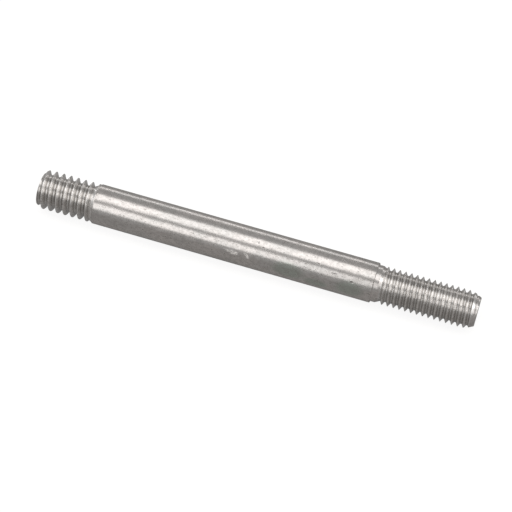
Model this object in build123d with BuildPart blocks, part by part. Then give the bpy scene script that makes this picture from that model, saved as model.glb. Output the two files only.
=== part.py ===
"""Double ended stud, one turned piece of stainless bar.

A plain shank has a coarse thread on one end, cut at about the shank's own size and right up to it.
The other end is turned down to a short neck, a finer and slimmer thread, and a plain tapered point.
The stud lies along X on its shank, fine end towards +X, with the ground at Z = 0.
"""

import os
from math import ceil, radians, tan

from build123d import *

INCH = 25.4

# Plain shank
shank_diameter = 6.7
shank_length = 47.7
shank_edge = 0.1  # 45 degree break at both ends of the shank

# Coarse end, right-hand thread
coarse_length = 9.7
coarse_diameter = 6.6
coarse_pitch = INCH / 20
coarse_lead_in = 0.75  # length of the chamfer along the stud
coarse_lead_in_step = 1.1  # how much slimmer the end face is than the thread
coarse_crest = 0.1  # from the shank back to the last crest, along the top of the stud

# Fine end, right-hand thread
neck_length = 1.15
neck_step = 0.2  # how much slimmer the neck is than the thread
neck_bevel = 0.3  # length over which the thread's start rises from the neck
fine_length = 15.35
fine_diameter = 6.3
fine_pitch = INCH / 26
fine_crest = 0.48  # from the neck to the first crest, along the top of the stud
fine_lead_in = 1.1  # length of the cone from the thread down to the point
point_length = 0.75
point_step = 1.4  # how much slimmer the plain point is than the thread, at its end
point_taper = 0.33  # how much its radius grows from there to the cone
point_edge = 0.1

# Both threads: 60 degree form, with its flats as shares of the pitch
half_flank_angle = 30
crest_flat = 1 / 8
root_flat = 1 / 6
runout_turns = 1.0  # turns over which the grooves grow shallow towards the shank

ridge_foot = 0.06  # how far a thread's ridge is sunk into its core
spare_length = 0.5  # extra bar at each end, turned off when the ends are faced
cut_reach = 0.5  # how far the turning cuts reach past the metal
seam_turn = 137  # degrees that keep the turned surfaces' seam clear of where the ridge turns meet

# Diameters that follow their thread
coarse_face_diameter = coarse_diameter - coarse_lead_in_step
neck_diameter = fine_diameter - neck_step
point_diameter = fine_diameter - point_step

# Stations along the stud
total_length = coarse_length + shank_length + neck_length + fine_length + point_length
coarse_end = -total_length / 2
coarse_shoulder = coarse_end + coarse_length
fine_shoulder = coarse_shoulder + shank_length
neck_end = fine_shoulder + neck_length
point_start = neck_end + fine_length
fine_end = point_start + point_length

axis_height = shank_diameter / 2
stud_axis = Axis((0, 0, axis_height), (1, 0, 0))
# Local x runs along the stud and local y is the radius
turning_plane = Plane(origin=(0, 0, axis_height), x_dir=(1, 0, 0), z_dir=(0, -1, 0))
seam_plane = turning_plane.rotated((seam_turn, 0, 0))


def core_radius(diameter, pitch):
    """Radius at the bottom of a thread's grooves."""
    flank_width = (1 - crest_flat - root_flat) * pitch / 2
    return diameter / 2 - flank_width / tan(radians(half_flank_angle))


def turned(points):
    """Turn a closed outline of (along, radius) points about the stud's axis."""
    with BuildPart() as body:
        with BuildSketch(seam_plane):
            with BuildLine():
                Polyline(points, close=True)
            make_face()
        revolve(axis=stud_axis)
    return body.part


def ridge_turn(diameter, pitch):
    """One turn of a thread's ridge, which starts above the middle of the stud."""
    crest_radius = diameter / 2
    foot_radius = core_radius(diameter, pitch) - ridge_foot
    crest_half = crest_flat * pitch / 2
    foot_half = crest_half + (crest_radius - foot_radius) * tan(radians(half_flank_angle))
    with BuildPart() as ridge:
        with BuildLine():
            Helix(pitch, pitch, crest_radius, (0, 0, axis_height), (1, 0, 0))
        with BuildSketch(turning_plane):
            with BuildLine():
                Polyline(
                    (-foot_half, foot_radius),
                    (-crest_half, crest_radius),
                    (crest_half, crest_radius),
                    (foot_half, foot_radius),
                    close=True,
                )
            make_face()
        sweep(is_frenet=True)
    return ridge.part


def blank():
    """The shank and both thread cores, with a cone into each where its grooves run out."""
    shank_radius = shank_diameter / 2
    edge_radius = shank_radius - shank_edge
    coarse_core = core_radius(coarse_diameter, coarse_pitch)
    fine_core = core_radius(fine_diameter, fine_pitch)
    return turned(
        [
            (coarse_end - spare_length, 0),
            (coarse_end - spare_length, coarse_core),
            (coarse_shoulder - runout_turns * coarse_pitch, coarse_core),
            (coarse_shoulder, edge_radius),
            (coarse_shoulder + shank_edge, shank_radius),
            (neck_end, shank_radius),
            (neck_end, neck_diameter / 2 - ridge_foot),
            (neck_end + runout_turns * fine_pitch, fine_core),
            (fine_end + spare_length, fine_core),
            (fine_end + spare_length, 0),
        ]
    )


def coarse_end_waste(depth, reach):
    """What facing and chamfering takes off the coarse end."""
    face_radius = coarse_face_diameter / 2
    rise = (coarse_diameter / 2 - face_radius) / coarse_lead_in
    return turned(
        [
            (coarse_end - depth, 0),
            (coarse_end, 0),
            (coarse_end, face_radius),
            (coarse_end + (reach - face_radius) / rise, reach),
            (coarse_end - depth, reach),
        ]
    )


def neck_waste(reach):
    """What turning the neck takes off, from the shank's edge to the bevel where the thread starts."""
    neck_radius = neck_diameter / 2
    edge_radius = shank_diameter / 2 - shank_edge
    rise = (fine_diameter / 2 - neck_radius) / neck_bevel
    return turned(
        [
            (fine_shoulder, neck_radius),
            (neck_end, neck_radius),
            (neck_end + (reach - neck_radius) / rise, reach),
            (fine_shoulder - (reach - edge_radius), reach),
            (fine_shoulder, edge_radius),
        ]
    )


def fine_end_waste(depth, reach):
    """What turning the cone and the tapered point takes off the fine end."""
    point_radius = point_diameter / 2
    cone_radius = point_radius + point_taper
    rise = (fine_diameter / 2 - cone_radius) / fine_lead_in
    return turned(
        [
            (fine_end + depth, 0),
            (fine_end, 0),
            (fine_end, point_radius - point_edge),
            (fine_end - point_edge, point_radius),
            (point_start, cone_radius),
            (point_start - (reach - cone_radius) / rise, reach),
            (fine_end + depth, reach),
        ]
    )


coarse_turns = ceil(coarse_length / coarse_pitch) + 1
fine_turns = ceil((fine_length + point_length) / fine_pitch) + 1
waste_depth = 3 * max(coarse_pitch, fine_pitch)
waste_reach = max(shank_diameter, coarse_diameter, fine_diameter) / 2 + cut_reach

with BuildPart() as stud:
    add(blank())
    # The turns reach past both ends of the stud, and the first and last lie inside the shank
    with Locations([(coarse_shoulder - coarse_crest - i * coarse_pitch, 0, 0) for i in range(coarse_turns)]):
        add(ridge_turn(coarse_diameter, coarse_pitch))
    with Locations([(neck_end + fine_crest + (i - 1) * fine_pitch, 0, 0) for i in range(fine_turns)]):
        add(ridge_turn(fine_diameter, fine_pitch))
    add(coarse_end_waste(waste_depth, waste_reach), mode=Mode.SUBTRACT)
    add(neck_waste(waste_reach), mode=Mode.SUBTRACT)
    add(fine_end_waste(waste_depth, waste_reach), mode=Mode.SUBTRACT)

stud.part.label = "stud"
os.makedirs("parts", exist_ok=True)
export_step(stud.part, "parts/stud.step")
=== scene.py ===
"""Double ended stud in bright turned stainless steel: the cut piece, its finish and its stage."""

from math import ceil, cos, pi, radians, sin, tan

import bpy
from bpy.props import FloatProperty, FloatVectorProperty, IntProperty, PointerProperty
from bpy.types import Operator, Panel, PropertyGroup
from mathutils import Euler, Matrix, Vector


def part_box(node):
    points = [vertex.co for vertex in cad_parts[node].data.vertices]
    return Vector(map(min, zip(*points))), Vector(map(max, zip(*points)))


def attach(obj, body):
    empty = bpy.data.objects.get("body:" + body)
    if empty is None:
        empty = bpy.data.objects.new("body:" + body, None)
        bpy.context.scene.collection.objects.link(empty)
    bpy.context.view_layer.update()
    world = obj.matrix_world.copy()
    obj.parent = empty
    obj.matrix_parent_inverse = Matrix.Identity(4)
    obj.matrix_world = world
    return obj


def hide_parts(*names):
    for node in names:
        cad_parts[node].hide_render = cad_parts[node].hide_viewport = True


bl_info = {
    "name": "Double ended stud",
    "version": (1, 0, 0),
    "blender": (4, 5, 0),
    "location": "View3D > Sidebar > Stud",
    "description": "Turns a double ended stud, finishes it and sets its stage",
    "category": "Add Mesh",
}

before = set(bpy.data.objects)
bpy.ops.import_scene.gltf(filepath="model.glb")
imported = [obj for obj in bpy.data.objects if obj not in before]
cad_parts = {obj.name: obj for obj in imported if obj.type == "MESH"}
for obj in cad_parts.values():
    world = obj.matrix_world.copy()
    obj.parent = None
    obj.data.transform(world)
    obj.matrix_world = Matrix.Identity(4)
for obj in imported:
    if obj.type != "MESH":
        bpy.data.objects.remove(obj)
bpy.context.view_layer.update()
LOWEST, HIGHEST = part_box("stud")

INCH = 0.0254
MM = 0.001
ALONG = (1, 0, 0)
FULL_TURN = 2 * pi
MERGE_DISTANCE = 5e-7
SMOOTH_ANGLE = radians(16)

# Extra bar at each end, and how far the trimming reaches past the metal
SPARE = 0.0005
# Size of a ridge's rounded crest corners and of its flared foot, as shares of the pitch
CORNER = 0.02
FLARE = 0.03
# Points of the foot's curve as (outwards, up) from where flank and core would meet, in flares
FOOT_CURVE = ((2.3, -0.3), (0.9, 0.25), (-0.1, 0.95))
FOOT_HEIGHT = 2
# Points of the corner's curve as (outwards, up) from where flank and crest would meet, in corners
CORNER_CURVE = ((-0.1, -0.35), (-0.9, 0))

# Noises in the steel: grains to the metre along, across and up, detail and roughness
WAVES = ((230, 500, 500), 1, 0.5)
DAPPLES = ((1300, 1900, 1900), 3, 0.7)
DRAWING = ((90, 3800, 3800), 3, 0.6)
PITS = ((3200, 4200, 4200), 1, 0.5)
CLOUDS = ((170, 330, 330), 3, 0.5)
RINGS = ((9000, 0, 0), 2, 0.5)
FURROWS = ((6000, 1500, 1500), 2, 0.6)
SCRATCHES = ((1000, 7000, 0), 2, 0.5)
# Values of a noise between which its effect sets in
PIT_RANGE = (0.6, 0.72)
SCRATCH_RANGE = (0.46, 0.52)
DULL_RANGE = (0.42, 0.62)
TINT_RANGE = (0.42, 0.6)
GROOVE_SHADE_RANGE = (0.3, 0.65)
# Least and most painted shade in the grooves, and how far up it reaches, as a share of their depth
GROOVE_SHADE_LIMITS = (0.5, 0.8)
GROOVE_SHARE = 0.9
# How dull the dapples and the pits are, and how far both change the roughness
DAPPLE_DULLNESS = 0.36
PIT_DULLNESS = 0.6
ROUGHNESS_SPREAD = 0.1
# Share of a mark's size at which its edge starts to fade
MARK_FADE = 0.45

# Marks on the shank: place along it in mm, angle up from the front in degrees, half length and
# half width in mm, slant
SCUFFS = (
    (-3.6, 27, 1.6, 0.5, 0.1),
    (-3.0, 25, 0.9, 0.45, -0.2),
    (-1.0, 27, 0.6, 0.5, 0.6),
)
NICKS = (
    (13.6, 48, 0.45, 0.11, 0.05),
    (16.6, 38, 0.35, 0.2, 0.0),
    (10.7, 63, 0.35, 0.12, 0.0),
    (0.4, 74, 0.14, 0.3, 0.8),
    (1.4, 63, 0.4, 0.12, 0.0),
    (14.4, 92, 0.35, 0.14, 0.5),
)
STAINS = (
    (6.0, 18, 3.4, 1.9, 0.0),
    (10.9, 2, 2.6, 1.1, 0.0),
    (16.4, 14, 3.0, 1.9, 0.0),
)

# Lamps round the stud's axis: name, place of what they face along the stud, angle up from the
# front horizon in degrees, distance, width, length and radiance
LAMPS_ROUND = (
    ("overhead_softbox", -0.1, 93.3, 0.5, 0.347, 1.6, 1.27),
    ("front_softbox", -0.32, 39.6, 0.62, 0.343, 0.64, 1.2),
    ("back_strip", -0.1, 165, 0.6, 0.11, 1.6, 1.2),
)
# Lamps beyond the ends: name, place from the stud's middle and radiance
LAMPS_BEYOND = (
    ("left_softbox", (-0.6, -0.2, 0.48), 0.5),
    ("right_softbox", (0.6, -0.2, 0.48), 0.95),
)
# Their width and length
LAMP_BEYOND_SIZE = (0.5, 0.8)

FLOOR_SIZE = 6
SENSOR_WIDTH = 36
CLIP_START = 0.01
# Place along the stud that the camera faces, and its step from there to its own right and up
FACED = 0.00002
STEP_RIGHT = -0.00004
STEP_UP = -0.00112


# ---------------------------------------------------------------- sizes and looks


class StudSizes(PropertyGroup):
    """Sizes of the stud, in metres."""

    shank_diameter: FloatProperty(
        name="Shank diameter", description="Across the plain shank",
        default=0.0067, unit="LENGTH",
    )
    shank_edge: FloatProperty(
        name="Shank edge", description="Break at both ends of the shank",
        default=0.0001, unit="LENGTH",
    )
    coarse_length: FloatProperty(
        name="Coarse length", description="From the coarse end to the shank",
        default=0.0097, unit="LENGTH",
    )
    coarse_diameter: FloatProperty(
        name="Coarse diameter", description="Over the coarse crests",
        default=0.0066, unit="LENGTH",
    )
    coarse_pitch: FloatProperty(
        name="Coarse pitch", description="From crest to crest at the coarse end",
        default=INCH / 20, unit="LENGTH",
    )
    coarse_crest: FloatProperty(
        name="Coarse crest", description="From the shank back to the last crest, along the top",
        default=0.0001, unit="LENGTH",
    )
    coarse_lead_in: FloatProperty(
        name="Coarse chamfer", description="Length of the chamfer at the coarse end",
        default=0.00075, unit="LENGTH",
    )
    coarse_face: FloatProperty(
        name="Coarse face", description="Across the flat face of the coarse end",
        default=0.0055, unit="LENGTH",
    )
    neck_diameter: FloatProperty(
        name="Neck diameter", description="Across the neck beside the fine thread",
        default=0.0061, unit="LENGTH",
    )
    neck_length: FloatProperty(
        name="Neck length", description="From the shank to the fine thread",
        default=0.00115, unit="LENGTH",
    )
    neck_bevel: FloatProperty(
        name="Neck bevel", description="Length over which the fine thread rises from the neck",
        default=0.00042, unit="LENGTH",
    )
    neck_flat: FloatProperty(
        name="Plain neck", description="Length of the neck before it falls to the fine core",
        default=0.00078, unit="LENGTH",
    )
    run_in: FloatProperty(
        name="Run-in", description="Length of the cone from the neck down to the fine core",
        default=0.0009, unit="LENGTH",
    )
    fine_length: FloatProperty(
        name="Fine length", description="From the neck to the plain point",
        default=0.01535, unit="LENGTH",
    )
    fine_diameter: FloatProperty(
        name="Fine diameter", description="Over the fine crests",
        default=0.0063, unit="LENGTH",
    )
    fine_pitch: FloatProperty(
        name="Fine pitch", description="From crest to crest at the fine end",
        default=INCH / 26, unit="LENGTH",
    )
    fine_crest: FloatProperty(
        name="Fine crest", description="From the neck to the first crest, along the top",
        default=0.00048, unit="LENGTH",
    )
    fine_lead_in: FloatProperty(
        name="Fine cone", description="Length of the cone down to the point",
        default=0.0011, unit="LENGTH",
    )
    point_length: FloatProperty(
        name="Point length", description="Length of the plain point",
        default=0.00075, unit="LENGTH",
    )
    point_diameter: FloatProperty(
        name="Point diameter", description="Across the end of the plain point",
        default=0.0049, unit="LENGTH",
    )
    point_taper: FloatProperty(
        name="Point taper",
        description="How much the point's radius grows from its end to the cone",
        default=0.00033, unit="LENGTH",
    )
    point_edge: FloatProperty(
        name="Point edge", description="Break around the point's face",
        default=0.0001, unit="LENGTH",
    )
    crest_flat: FloatProperty(
        name="Crest flat", description="Flat on the crests, as a share of the pitch",
        default=0.06, subtype="FACTOR",
    )
    root_flat: FloatProperty(
        name="Root flat", description="Flat in the roots, as a share of the pitch",
        default=0.25, subtype="FACTOR",
    )
    half_flank: FloatProperty(
        name="Half flank angle", description="Half of the thread's angle",
        default=radians(30), subtype="ANGLE",
    )
    segments: IntProperty(name="Segments", description="Flats round the stud", default=128)


class StudFinish(PropertyGroup):
    """Colours, roughness and marks of the steel."""

    steel: FloatVectorProperty(
        name="Steel", description="Colour of the clean steel",
        default=(0.66, 0.622, 0.598), subtype="COLOR", size=3, min=0, max=1,
    )
    tint: FloatVectorProperty(
        name="Tint", description="Colour of the steel where it is faintly clouded",
        default=(0.61, 0.585, 0.565), subtype="COLOR", size=3, min=0, max=1,
    )
    # Painted sheen: lighter than the shank's steel, so that the threads shine as their rounder real
    # forms would
    thread: FloatVectorProperty(
        name="Thread", description="Colour of the freshly cut steel of both threads",
        default=(0.86, 0.84, 0.822), subtype="COLOR", size=3, min=0, max=1,
    )
    # Painted shade: darkens the thread grooves towards their roots, as if little light reached them
    # there; the same colour also dulls the steel in the dapples and pits
    groove_shade_and_dulling: FloatVectorProperty(
        name="Grime", description="Colour of the steel where oil and dust sit in the grooves",
        default=(0.36, 0.34, 0.32), subtype="COLOR", size=3, min=0, max=1,
    )
    scuff: FloatVectorProperty(
        name="Scuff", description="Colour of the bare steel inside a scuff",
        default=(1.0, 0.97, 0.94), subtype="COLOR", size=3, min=0, max=1,
    )
    nick: FloatVectorProperty(
        name="Nick", description="Colour inside a nick",
        default=(0.27, 0.25, 0.24), subtype="COLOR", size=3, min=0, max=1,
    )
    stain: FloatVectorProperty(
        name="Stain", description="Colour of the steel inside a stain",
        default=(0.48, 0.505, 0.46), subtype="COLOR", size=3, min=0, max=1,
    )
    roughness: FloatProperty(
        name="Roughness", description="Roughness of the clean steel",
        default=0.245, subtype="FACTOR", min=0, max=1,
    )
    thread_roughness: FloatProperty(
        name="Thread roughness", description="How much rougher the threads are",
        default=0.01, subtype="FACTOR", min=0, max=1,
    )
    scuff_roughness: FloatProperty(
        name="Scuff roughness", description="Roughness inside a scuff",
        default=0.72, subtype="FACTOR", min=0, max=1,
    )
    waves: FloatProperty(
        name="Waves", description="Height of the slow waves",
        default=0.00003, precision=7, unit="LENGTH",
    )
    dapples: FloatProperty(
        name="Dapples", description="Height of the dapples",
        default=0.0000012, precision=7, unit="LENGTH",
    )
    lines: FloatProperty(
        name="Lines", description="Height of the fine lines that drawing and turning leave",
        default=0.0000005, precision=7, unit="LENGTH",
    )
    furrows: FloatProperty(
        name="Furrows", description="Height of the furrows that threading leaves",
        default=0.000004, precision=7, unit="LENGTH",
    )
    pits: FloatProperty(
        name="Pits", description="Depth of the small pits and scratches",
        default=0.000002, precision=7, unit="LENGTH",
    )
    nicks: FloatProperty(
        name="Nicks", description="Depth of the nicks",
        default=0.000025, precision=7, unit="LENGTH",
    )


class StudStage(PropertyGroup):
    """Camera, floor and surroundings."""

    azimuth: FloatProperty(
        name="Azimuth", description="How far round from the front the camera stands",
        default=radians(11.1), subtype="ANGLE",
    )
    elevation: FloatProperty(
        name="Elevation", description="How high the camera looks down from",
        default=radians(54), subtype="ANGLE",
    )
    distance: FloatProperty(
        name="Distance", description="From the camera to the stud",
        default=0.323, unit="LENGTH",
    )
    roll: FloatProperty(
        name="Roll", description="How far the camera is turned about its own view",
        default=radians(6.9), subtype="ANGLE",
    )
    lens: FloatProperty(
        name="Lens", description="Focal length of the camera in millimetres",
        default=138.8, unit="CAMERA",
    )
    floor: FloatVectorProperty(
        name="Floor", description="Colour of the floor",
        default=(0.2, 0.193, 0.188), subtype="COLOR", size=3, min=0, max=1,
    )
    floor_glow: FloatProperty(
        name="Floor glow", description="What the floor adds to its own colour, so that it is white",
        default=0.875, subtype="FACTOR", min=0, max=1,
    )
    room: FloatVectorProperty(
        name="Room", description="Colour of the light from all round",
        default=(0.27, 0.27, 0.27), subtype="COLOR", size=3, min=0, max=1,
    )
    reflected: FloatProperty(
        name="Background in the metal",
        description="Share of the white background that metal and glass show",
        default=0.18, subtype="FACTOR", min=0, max=1,
    )


# ---------------------------------------------------------------- modelling by hand


def deselect():
    bpy.ops.object.select_all(action="DESELECT")


def pick(piece):
    """Makes a piece the only one selected."""
    deselect()
    piece.select_set(True)
    bpy.context.view_layer.objects.active = piece


def draw_outline(name, height, points, closed):
    """Draws (along, radius) points in the upright plane through the stud's axis."""
    deselect()
    bpy.ops.mesh.primitive_plane_add(size=MM, location=(0, 0, height))
    piece = bpy.context.object
    piece.name = name
    bpy.ops.object.mode_set(mode="EDIT")
    bpy.ops.mesh.select_mode(type="VERT")
    bpy.ops.mesh.select_all(action="SELECT")
    bpy.ops.mesh.merge(type="CENTER")
    here = Vector((points[0][0], 0, points[0][1]))
    bpy.ops.transform.translate(value=here)
    for along, radius in points[1:]:
        there = Vector((along, 0, radius))
        bpy.ops.mesh.extrude_region_move(TRANSFORM_OT_translate={"value": there - here})
        here = there
    if closed:
        bpy.ops.object.mode_set(mode="OBJECT")
        for vertex in piece.data.vertices:
            vertex.select = vertex.index in (0, len(piece.data.vertices) - 1)
        bpy.ops.object.mode_set(mode="EDIT")
        bpy.ops.mesh.edge_face_add()
    bpy.ops.object.mode_set(mode="OBJECT")
    return piece


def close_up():
    """Merges the seam of the piece, fills its open ends and turns its faces outwards."""
    bpy.ops.object.mode_set(mode="EDIT")
    bpy.ops.mesh.select_all(action="SELECT")
    bpy.ops.mesh.remove_doubles(threshold=MERGE_DISTANCE)
    bpy.ops.mesh.select_all(action="SELECT")
    bpy.ops.mesh.fill_holes(sides=0)
    bpy.ops.mesh.select_all(action="SELECT")
    bpy.ops.mesh.normals_make_consistent(inside=False)
    bpy.ops.object.mode_set(mode="OBJECT")


def lathe(name, height, segments, points):
    """Turns an outline, whose ends are on the axis, into a closed solid."""
    piece = draw_outline(name, height, points, closed=False)
    bpy.ops.object.mode_set(mode="EDIT")
    bpy.ops.mesh.select_all(action="SELECT")
    bpy.ops.mesh.spin(steps=segments, angle=FULL_TURN, center=(0, 0, height), axis=ALONG)
    close_up()
    return piece


def core_radius(sizes, diameter, pitch):
    """Radius at the bottom of a thread's grooves."""
    flank_width = (1 - sizes.crest_flat - sizes.root_flat) * pitch / 2
    return diameter / 2 - flank_width / tan(sizes.half_flank)


def ridge(name, height, sizes, diameter, pitch, first_crest, turns, upright=1):
    """Winds a thread's ridge, with rounded crest corners and a flared foot, round the axis.

    It starts above the axis, or below it where upright is -1.
    """
    crest = diameter / 2
    core = core_radius(sizes, diameter, pitch)
    slope = tan(sizes.half_flank)
    half_crest = sizes.crest_flat * pitch / 2
    half_core = half_crest + (crest - core) * slope
    corner = CORNER * pitch
    flare = FLARE * pitch
    side = [(half_core + out * flare, core + up * flare) for out, up in FOOT_CURVE]
    for radius in (core + FOOT_HEIGHT * flare, crest - corner):
        side.append((half_crest + (crest - radius) * slope, radius))
    side += [(half_crest + out * corner, crest + up * corner) for out, up in CORNER_CURVE]
    outline = [(first_crest - along, radius * upright) for along, radius in side]
    outline += [(first_crest + along, radius * upright) for along, radius in reversed(side)]
    piece = draw_outline(name, height, outline, closed=True)
    screw = piece.modifiers.new("Winding", "SCREW")
    screw.axis = "X"
    screw.angle = FULL_TURN
    screw.screw_offset = pitch
    screw.iterations = turns
    screw.steps = sizes.segments
    screw.render_steps = sizes.segments
    bpy.ops.object.modifier_apply(modifier=screw.name)
    close_up()
    return piece


def combine(piece, tool, operation):
    """Joins a tool to the piece, or keeps only what both share, and removes the tool."""
    pick(piece)
    boolean = piece.modifiers.new(operation.title(), "BOOLEAN")
    boolean.operation = operation
    boolean.solver = "EXACT"
    boolean.object = tool
    bpy.ops.object.modifier_apply(modifier=boolean.name)
    bpy.data.objects.remove(tool)
    close_up()


# ---------------------------------------------------------------- materials


class Wiring:
    """Adds nodes to a tree and wires them to each other."""

    def __init__(self, tree):
        self.tree = tree

    def add(self, kind, **settings):
        node = self.tree.nodes.new(kind)
        for name, value in settings.items():
            setattr(node, name, value)
        return node

    def feed(self, socket, value):
        """Wires a socket to another, or sets it to a value."""
        if isinstance(value, bpy.types.NodeSocket):
            self.tree.links.new(value, socket)
        else:
            socket.default_value = value

    def math(self, operation, *values, clamp=False):
        node = self.add("ShaderNodeMath", operation=operation, use_clamp=clamp)
        for socket, value in zip(node.inputs, values):
            self.feed(socket, value)
        return node.outputs[0]

    def vector(self, operation, *values, output=0):
        node = self.add("ShaderNodeVectorMath", operation=operation)
        for socket, value in zip(node.inputs, values):
            self.feed(socket, value)
        return node.outputs[output]

    def split(self, vector):
        """The three parts of a vector."""
        node = self.add("ShaderNodeSeparateXYZ")
        self.feed(node.inputs[0], vector)
        return node.outputs

    def join(self, first, second=0.0):
        """A vector with these first two parts."""
        node = self.add("ShaderNodeCombineXYZ")
        self.feed(node.inputs[0], first)
        self.feed(node.inputs[1], second)
        return node.outputs[0]

    def length(self, first, second):
        """Length of the long side of a right triangle with these short ones."""
        squares = [self.math("MULTIPLY", side, side) for side in (first, second)]
        return self.math("SQRT", self.math("ADD", *squares))

    def ramp(self, value, low, high, to_low=0.0, to_high=1.0):
        """Turns a value smoothly from to_low to to_high between low and high."""
        node = self.add("ShaderNodeMapRange", interpolation_type="SMOOTHSTEP")
        for name, setting in (
            ("Value", value), ("From Min", low), ("From Max", high),
            ("To Min", to_low), ("To Max", to_high),
        ):
            self.feed(node.inputs[name], setting)
        return node.outputs["Result"]

    def noise(self, place, stretch, detail, roughness):
        """Noise whose grains have a size of one over the stretch, in metres, along each axis."""
        node = self.add("ShaderNodeTexNoise")
        self.feed(node.inputs["Vector"], self.vector("MULTIPLY", place, stretch))
        node.inputs["Scale"].default_value = 1
        node.inputs["Detail"].default_value = detail
        node.inputs["Roughness"].default_value = roughness
        return node.outputs["Fac"]

    def blend(self, factor, first, second):
        node = self.add("ShaderNodeMix", data_type="RGBA")
        self.feed(node.inputs["Factor"], factor)
        self.feed(node.inputs["A"], first)
        self.feed(node.inputs["B"], second)
        return node.outputs["Result"]


def mark_group():
    """A patch at a place along and round the stud, and the fine scratches in it."""
    tree = bpy.data.node_groups.new("shank mark", "ShaderNodeTree")
    tree.interface.new_socket("Place", in_out="INPUT", socket_type="NodeSocketVector")
    for name in ("Along", "Angle", "Half length", "Half width", "Slant"):
        tree.interface.new_socket(name, in_out="INPUT", socket_type="NodeSocketFloat")
    for name in ("Patch", "Scratches"):
        tree.interface.new_socket(name, in_out="OUTPUT", socket_type="NodeSocketFloat")
    w = Wiring(tree)
    given = w.add("NodeGroupInput").outputs
    along, across, up = w.split(given["Place"])
    angle = w.math("ARCTAN2", up, w.math("MULTIPLY", across, -1.0))
    turned = w.math("SUBTRACT", angle, given["Angle"])
    aside = w.math("MULTIPLY", turned, w.length(across, up))
    ahead = w.math("SUBTRACT", along, given["Along"])
    leaning = w.math("ADD", aside, w.math("MULTIPLY", ahead, given["Slant"]))
    spot = w.join(
        w.math("DIVIDE", ahead, given["Half length"]),
        w.math("DIVIDE", leaning, given["Half width"]),
    )
    patch = w.ramp(w.vector("LENGTH", spot, output=1), MARK_FADE, 1.0, 1.0, 0.0)
    scratches = w.ramp(w.noise(w.join(ahead, leaning), *SCRATCHES), *SCRATCH_RANGE)
    result = w.add("NodeGroupOutput")
    w.feed(result.inputs["Patch"], patch)
    w.feed(result.inputs["Scratches"], w.math("MULTIPLY", patch, scratches))
    return tree


def marked(w, group, place, marks, output):
    """Where the steel has one of the marks."""
    mask = 0.0
    for ahead, angle, half_length, half_width, slant in marks:
        mark = w.add("ShaderNodeGroup", node_tree=group)
        for name, value in (
            ("Place", place), ("Along", ahead * MM), ("Angle", radians(angle)),
            ("Half length", half_length * MM), ("Half width", half_width * MM), ("Slant", slant),
        ):
            w.feed(mark.inputs[name], value)
        mask = w.math("MAXIMUM", mask, mark.outputs[output])
    return mask


def steel_material(finish, sizes):
    material = bpy.data.materials.new("turned stainless steel")
    material.use_nodes = True
    w = Wiring(material.node_tree)
    shader = w.tree.nodes["Principled BSDF"]
    shader.inputs["Metallic"].default_value = 1

    coordinates = w.add("ShaderNodeTexCoord")
    place = w.vector("SUBTRACT", coordinates.outputs["Object"], (0, 0, sizes.shank_diameter / 2))
    along, across, up = w.split(place)
    radius = w.length(across, up)

    # Slow waves, dapples, drawing lines, pits, clouds, the tool's rings and the threading's furrows
    waves = w.noise(place, *WAVES)
    dapples = w.noise(place, *DAPPLES)
    drawing = w.noise(place, *DRAWING)
    pits = w.ramp(w.noise(place, *PITS), *PIT_RANGE)
    clouds = w.noise(place, *CLOUDS)
    rings = w.noise(w.join(radius), *RINGS)
    furrows = w.noise(place, *FURROWS)

    # Both threads, and their grooves from a little below the crests down
    point_start = HIGHEST[0] - sizes.point_length
    coarse = w.math("LESS_THAN", along, LOWEST[0] + sizes.coarse_length)
    fine = w.math(
        "MULTIPLY",
        w.math("GREATER_THAN", along, point_start - sizes.fine_length),
        w.math("LESS_THAN", along, point_start),
    )
    threads = w.math("MAXIMUM", coarse, fine)
    grooves = []
    for thread, diameter, pitch in (
        (coarse, sizes.coarse_diameter, sizes.coarse_pitch),
        (fine, sizes.fine_diameter, sizes.fine_pitch),
    ):
        core = core_radius(sizes, diameter, pitch)
        rim = core + GROOVE_SHARE * (diameter / 2 - core)
        grooves.append(w.math("MULTIPLY", thread, w.ramp(radius, core, rim, 1.0, 0.0)))
    # Painted shade in the thread grooves, deepest at the roots and made uneven by the clouds
    cover = w.ramp(clouds, *GROOVE_SHADE_RANGE, *GROOVE_SHADE_LIMITS)
    groove_shade = w.math("MULTIPLY", w.math("ADD", *grooves), cover)

    group = mark_group()
    scuffs = marked(w, group, place, SCUFFS, "Scratches")
    nicks = marked(w, group, place, NICKS, "Patch")
    stains = marked(w, group, place, STAINS, "Patch")

    dulled = w.math(
        "ADD",
        w.math("MULTIPLY", w.ramp(dapples, *DULL_RANGE), DAPPLE_DULLNESS),
        w.math("MULTIPLY", pits, PIT_DULLNESS),
    )
    colour = (*finish.steel, 1)
    for factor, layer in (
        (w.ramp(clouds, *TINT_RANGE), finish.tint),
        (stains, finish.stain),
        # painted sheen: both threads lighter than the shank's steel
        (threads, finish.thread),
        (scuffs, finish.scuff),
        # painted shade in the grooves, and dull steel in the dapples and pits
        (w.math("MAXIMUM", groove_shade, dulled), finish.groove_shade_and_dulling),
        (nicks, finish.nick),
    ):
        colour = w.blend(factor, colour, (*layer, 1))
    w.feed(shader.inputs["Base Color"], colour)

    rough = finish.roughness - ROUGHNESS_SPREAD / 2
    for form, share in (
        (dapples, ROUGHNESS_SPREAD),
        (pits, ROUGHNESS_SPREAD),
        (threads, finish.thread_roughness),
        (scuffs, finish.scuff_roughness - finish.roughness),
    ):
        rough = w.math("ADD", rough, w.math("MULTIPLY", form, share))
    w.feed(shader.inputs["Roughness"], rough)

    height = w.math("MULTIPLY", w.math("MULTIPLY", threads, furrows), finish.furrows)
    for form, share in (
        (waves, finish.waves), (dapples, finish.dapples),
        (drawing, finish.lines), (rings, finish.lines),
        (pits, -finish.pits), (scuffs, -finish.pits), (nicks, -finish.nicks),
    ):
        height = w.math("ADD", height, w.math("MULTIPLY", form, share))
    bump = w.add("ShaderNodeBump")
    bump.inputs["Strength"].default_value = 1
    bump.inputs["Distance"].default_value = 1
    w.feed(bump.inputs["Height"], height)
    w.feed(shader.inputs["Normal"], bump.outputs["Normal"])
    return material


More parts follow.
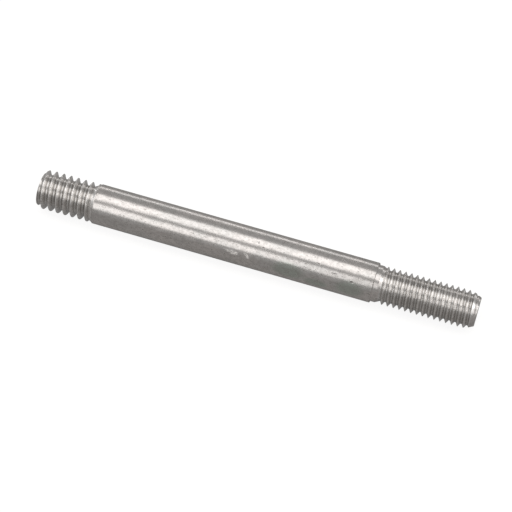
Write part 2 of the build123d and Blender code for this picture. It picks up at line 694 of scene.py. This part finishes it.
def background_share(w, stage):
    """How much of the background a ray sees: all from the camera, a share in metal or glass."""
    rays = w.add("ShaderNodeLightPath")
    seen_in = w.math("ADD", rays.outputs["Is Glossy Ray"], rays.outputs["Is Transmission Ray"])
    seen_share = w.math("MULTIPLY", seen_in, stage.reflected)
    return w.math("ADD", rays.outputs["Is Camera Ray"], seen_share, clamp=True)


def floor_material(stage):
    material = bpy.data.materials.new("pale floor")
    material.use_nodes = True
    w = Wiring(material.node_tree)
    w.tree.nodes.clear()
    paint = w.add("ShaderNodeBsdfDiffuse")
    paint.inputs["Color"].default_value = (*stage.floor, 1)
    glow = w.add("ShaderNodeEmission")
    strength = w.math("MULTIPLY", background_share(w, stage), stage.floor_glow)
    w.feed(glow.inputs["Strength"], strength)
    both = w.add("ShaderNodeAddShader")
    w.feed(both.inputs[0], paint.outputs[0])
    w.feed(both.inputs[1], glow.outputs[0])
    w.feed(w.add("ShaderNodeOutputMaterial").inputs["Surface"], both.outputs[0])
    return material


def surroundings(stage):
    """A white background, which lights the stud only as brightly as the room."""
    world = bpy.data.worlds.new("studio")
    world.use_nodes = True
    w = Wiring(world.node_tree)
    w.tree.nodes.clear()
    room = w.add("ShaderNodeBackground")
    room.inputs["Color"].default_value = (*stage.room, 1)
    white = w.add("ShaderNodeBackground")
    white.inputs["Color"].default_value = (1, 1, 1, 1)
    mix = w.add("ShaderNodeMixShader")
    w.feed(mix.inputs[0], background_share(w, stage))
    w.feed(mix.inputs[1], room.outputs[0])
    w.feed(mix.inputs[2], white.outputs[0])
    w.feed(w.add("ShaderNodeOutputWorld").inputs["Surface"], mix.outputs[0])
    return world


# ---------------------------------------------------------------- operators


class STUD_OT_turn(Operator):
    """Turn the bar, wind both threads on it and trim the ends"""

    bl_idname = "stud.turn"
    bl_label = "Turn the stud"

    def execute(self, context):
        s = context.scene.stud_sizes
        height = s.shank_diameter / 2
        shank = s.shank_diameter / 2
        edge = shank - s.shank_edge
        coarse_end, fine_end = LOWEST[0], HIGHEST[0]
        coarse_shoulder = coarse_end + s.coarse_length
        point_start = fine_end - s.point_length
        neck_end = point_start - s.fine_length
        fine_shoulder = neck_end - s.neck_length
        coarse_core = core_radius(s, s.coarse_diameter, s.coarse_pitch)
        fine_core = core_radius(s, s.fine_diameter, s.fine_pitch)
        neck = s.neck_diameter / 2
        flat_end = fine_shoulder + s.neck_flat
        fall = (neck - fine_core) / s.run_in

        bar = lathe("stud_body", height, s.segments, [
            (coarse_end - SPARE, 0),
            (coarse_end - SPARE, coarse_core),
            (coarse_shoulder - s.coarse_pitch, coarse_core),
            (coarse_shoulder, edge),
            (coarse_shoulder + s.shank_edge, shank),
            (flat_end - (shank - neck) / fall, shank),
            (flat_end + s.run_in, fine_core),
            (fine_end + SPARE, fine_core),
            (fine_end + SPARE, 0),
        ])
        coarse_turns = ceil(s.coarse_length / s.coarse_pitch) + 1
        last_crest = coarse_shoulder - s.coarse_crest + s.coarse_pitch
        combine(bar, ridge(
            "coarse_ridge", height, s, s.coarse_diameter, s.coarse_pitch,
            last_crest - coarse_turns * s.coarse_pitch, coarse_turns,
        ), "UNION")
        fine_turns = ceil((s.fine_length + s.point_length) / s.fine_pitch) + 1
        combine(bar, ridge(
            "fine_ridge", height, s, s.fine_diameter, s.fine_pitch,
            neck_end + s.fine_crest - s.fine_pitch / 2, fine_turns, upright=-1,
        ), "UNION")

        reach = shank + SPARE
        coarse_rise = (s.coarse_diameter - s.coarse_face) / 2 / s.coarse_lead_in
        neck_rise = (s.fine_diameter - s.neck_diameter) / 2 / s.neck_bevel
        point = s.point_diameter / 2
        cone = point + s.point_taper
        cone_rise = (s.fine_diameter / 2 - cone) / s.fine_lead_in
        # One flat fewer, so that none of the envelope's edges lies on one of the bar's
        combine(bar, lathe("envelope", height, s.segments - 1, [
            (coarse_end, 0),
            (coarse_end, s.coarse_face / 2),
            (coarse_end + (reach - s.coarse_face / 2) / coarse_rise, reach),
            (fine_shoulder - (reach - edge), reach),
            (fine_shoulder, edge),
            (fine_shoulder, neck),
            (neck_end, neck),
            (neck_end + (reach - neck) / neck_rise, reach),
            (point_start - (reach - cone) / cone_rise, reach),
            (point_start, cone),
            (fine_end - s.point_edge, point),
            (fine_end, point - s.point_edge),
            (fine_end, 0),
        ]), "INTERSECT")

        pick(bar)
        bpy.ops.object.transform_apply(location=True, rotation=True, scale=True)
        bpy.ops.object.shade_smooth_by_angle(angle=SMOOTH_ANGLE)
        bar.data.materials.append(steel_material(context.scene.stud_finish, s))
        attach(bar, "root")
        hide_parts("stud")
        return {"FINISHED"}


def beside(angle, distance):
    """Where a lamp stands from the stud, at an angle about its axis from the front horizon."""
    return Vector((0, -cos(angle), sin(angle))) * distance


def softbox(name, middle, away, width, length, radiance):
    """Adds a lamp that stands away from the middle of what it faces."""
    deselect()
    bpy.ops.object.light_add(type="AREA", location=Vector(middle) + away)
    lamp = bpy.context.object
    lamp.name = name
    lamp.rotation_euler = away.to_track_quat("Z", "Y").to_euler()
    lamp.data.shape = "RECTANGLE"
    lamp.data.size = length
    lamp.data.size_y = width
    lamp.data.energy = radiance * pi * width * length
    lamp.visible_camera = False


def add_camera(stage, height):
    """Adds the camera and returns it."""
    deselect()
    bpy.ops.object.camera_add()
    camera = bpy.context.object
    away = Vector((
        sin(stage.azimuth) * cos(stage.elevation),
        -cos(stage.azimuth) * cos(stage.elevation),
        sin(stage.elevation),
    ))
    right = Vector((cos(stage.azimuth), sin(stage.azimuth), 0))
    step = right * STEP_RIGHT + away.cross(right) * STEP_UP
    camera.location = Vector((FACED, 0, height)) + away * stage.distance + step
    level = Euler((pi / 2 - stage.elevation, 0, stage.azimuth)).to_matrix()
    camera.rotation_euler = (level @ Matrix.Rotation(stage.roll, 3, "Z")).to_euler()
    camera.data.lens = stage.lens
    camera.data.sensor_width = SENSOR_WIDTH
    camera.data.clip_start = CLIP_START
    return camera


class STUD_OT_set_stage(Operator):
    """Set the floor, the lamps, the surroundings and the camera"""

    bl_idname = "stud.set_stage"
    bl_label = "Set the stage"

    def execute(self, context):
        stage = context.scene.stud_stage
        height = context.scene.stud_sizes.shank_diameter / 2

        deselect()
        bpy.ops.mesh.primitive_plane_add(size=FLOOR_SIZE, location=(0, 0, 0))
        floor = bpy.context.object
        floor.name = "floor"
        floor.data.materials.append(floor_material(stage))

        context.scene.world = surroundings(stage)

        for name, faced, angle, distance, width, length, radiance in LAMPS_ROUND:
            away = beside(radians(angle), distance)
            softbox(name, (faced, 0, height), away, width, length, radiance)
        for name, away, radiance in LAMPS_BEYOND:
            softbox(name, (0, 0, height), Vector(away), *LAMP_BEYOND_SIZE, radiance)

        context.scene.camera = add_camera(stage, height)
        context.scene.view_settings.view_transform = "Standard"
        return {"FINISHED"}


class STUD_PT_panel(Panel):
    """Sizes, finish and stage of the stud"""

    bl_idname = "STUD_PT_panel"
    bl_label = "Double ended stud"
    bl_space_type = "VIEW_3D"
    bl_region_type = "UI"
    bl_category = "Stud"

    def draw(self, context):
        layout = self.layout
        scene = context.scene
        for group in (scene.stud_sizes, scene.stud_finish, scene.stud_stage):
            box = layout.box()
            for name in group.__annotations__:
                box.prop(group, name)
        layout.operator(STUD_OT_turn.bl_idname)
        layout.operator(STUD_OT_set_stage.bl_idname)


CLASSES = (StudSizes, StudFinish, StudStage, STUD_OT_turn, STUD_OT_set_stage, STUD_PT_panel)


def register():
    for cls in CLASSES:
        bpy.utils.register_class(cls)
    bpy.types.Scene.stud_sizes = PointerProperty(type=StudSizes)
    bpy.types.Scene.stud_finish = PointerProperty(type=StudFinish)
    bpy.types.Scene.stud_stage = PointerProperty(type=StudStage)


def unregister():
    del bpy.types.Scene.stud_stage
    del bpy.types.Scene.stud_finish
    del bpy.types.Scene.stud_sizes
    for cls in reversed(CLASSES):
        bpy.utils.unregister_class(cls)


def main():
    register()
    bpy.ops.stud.turn()
    bpy.ops.stud.set_stage()


if __name__ == "__main__":
    main()
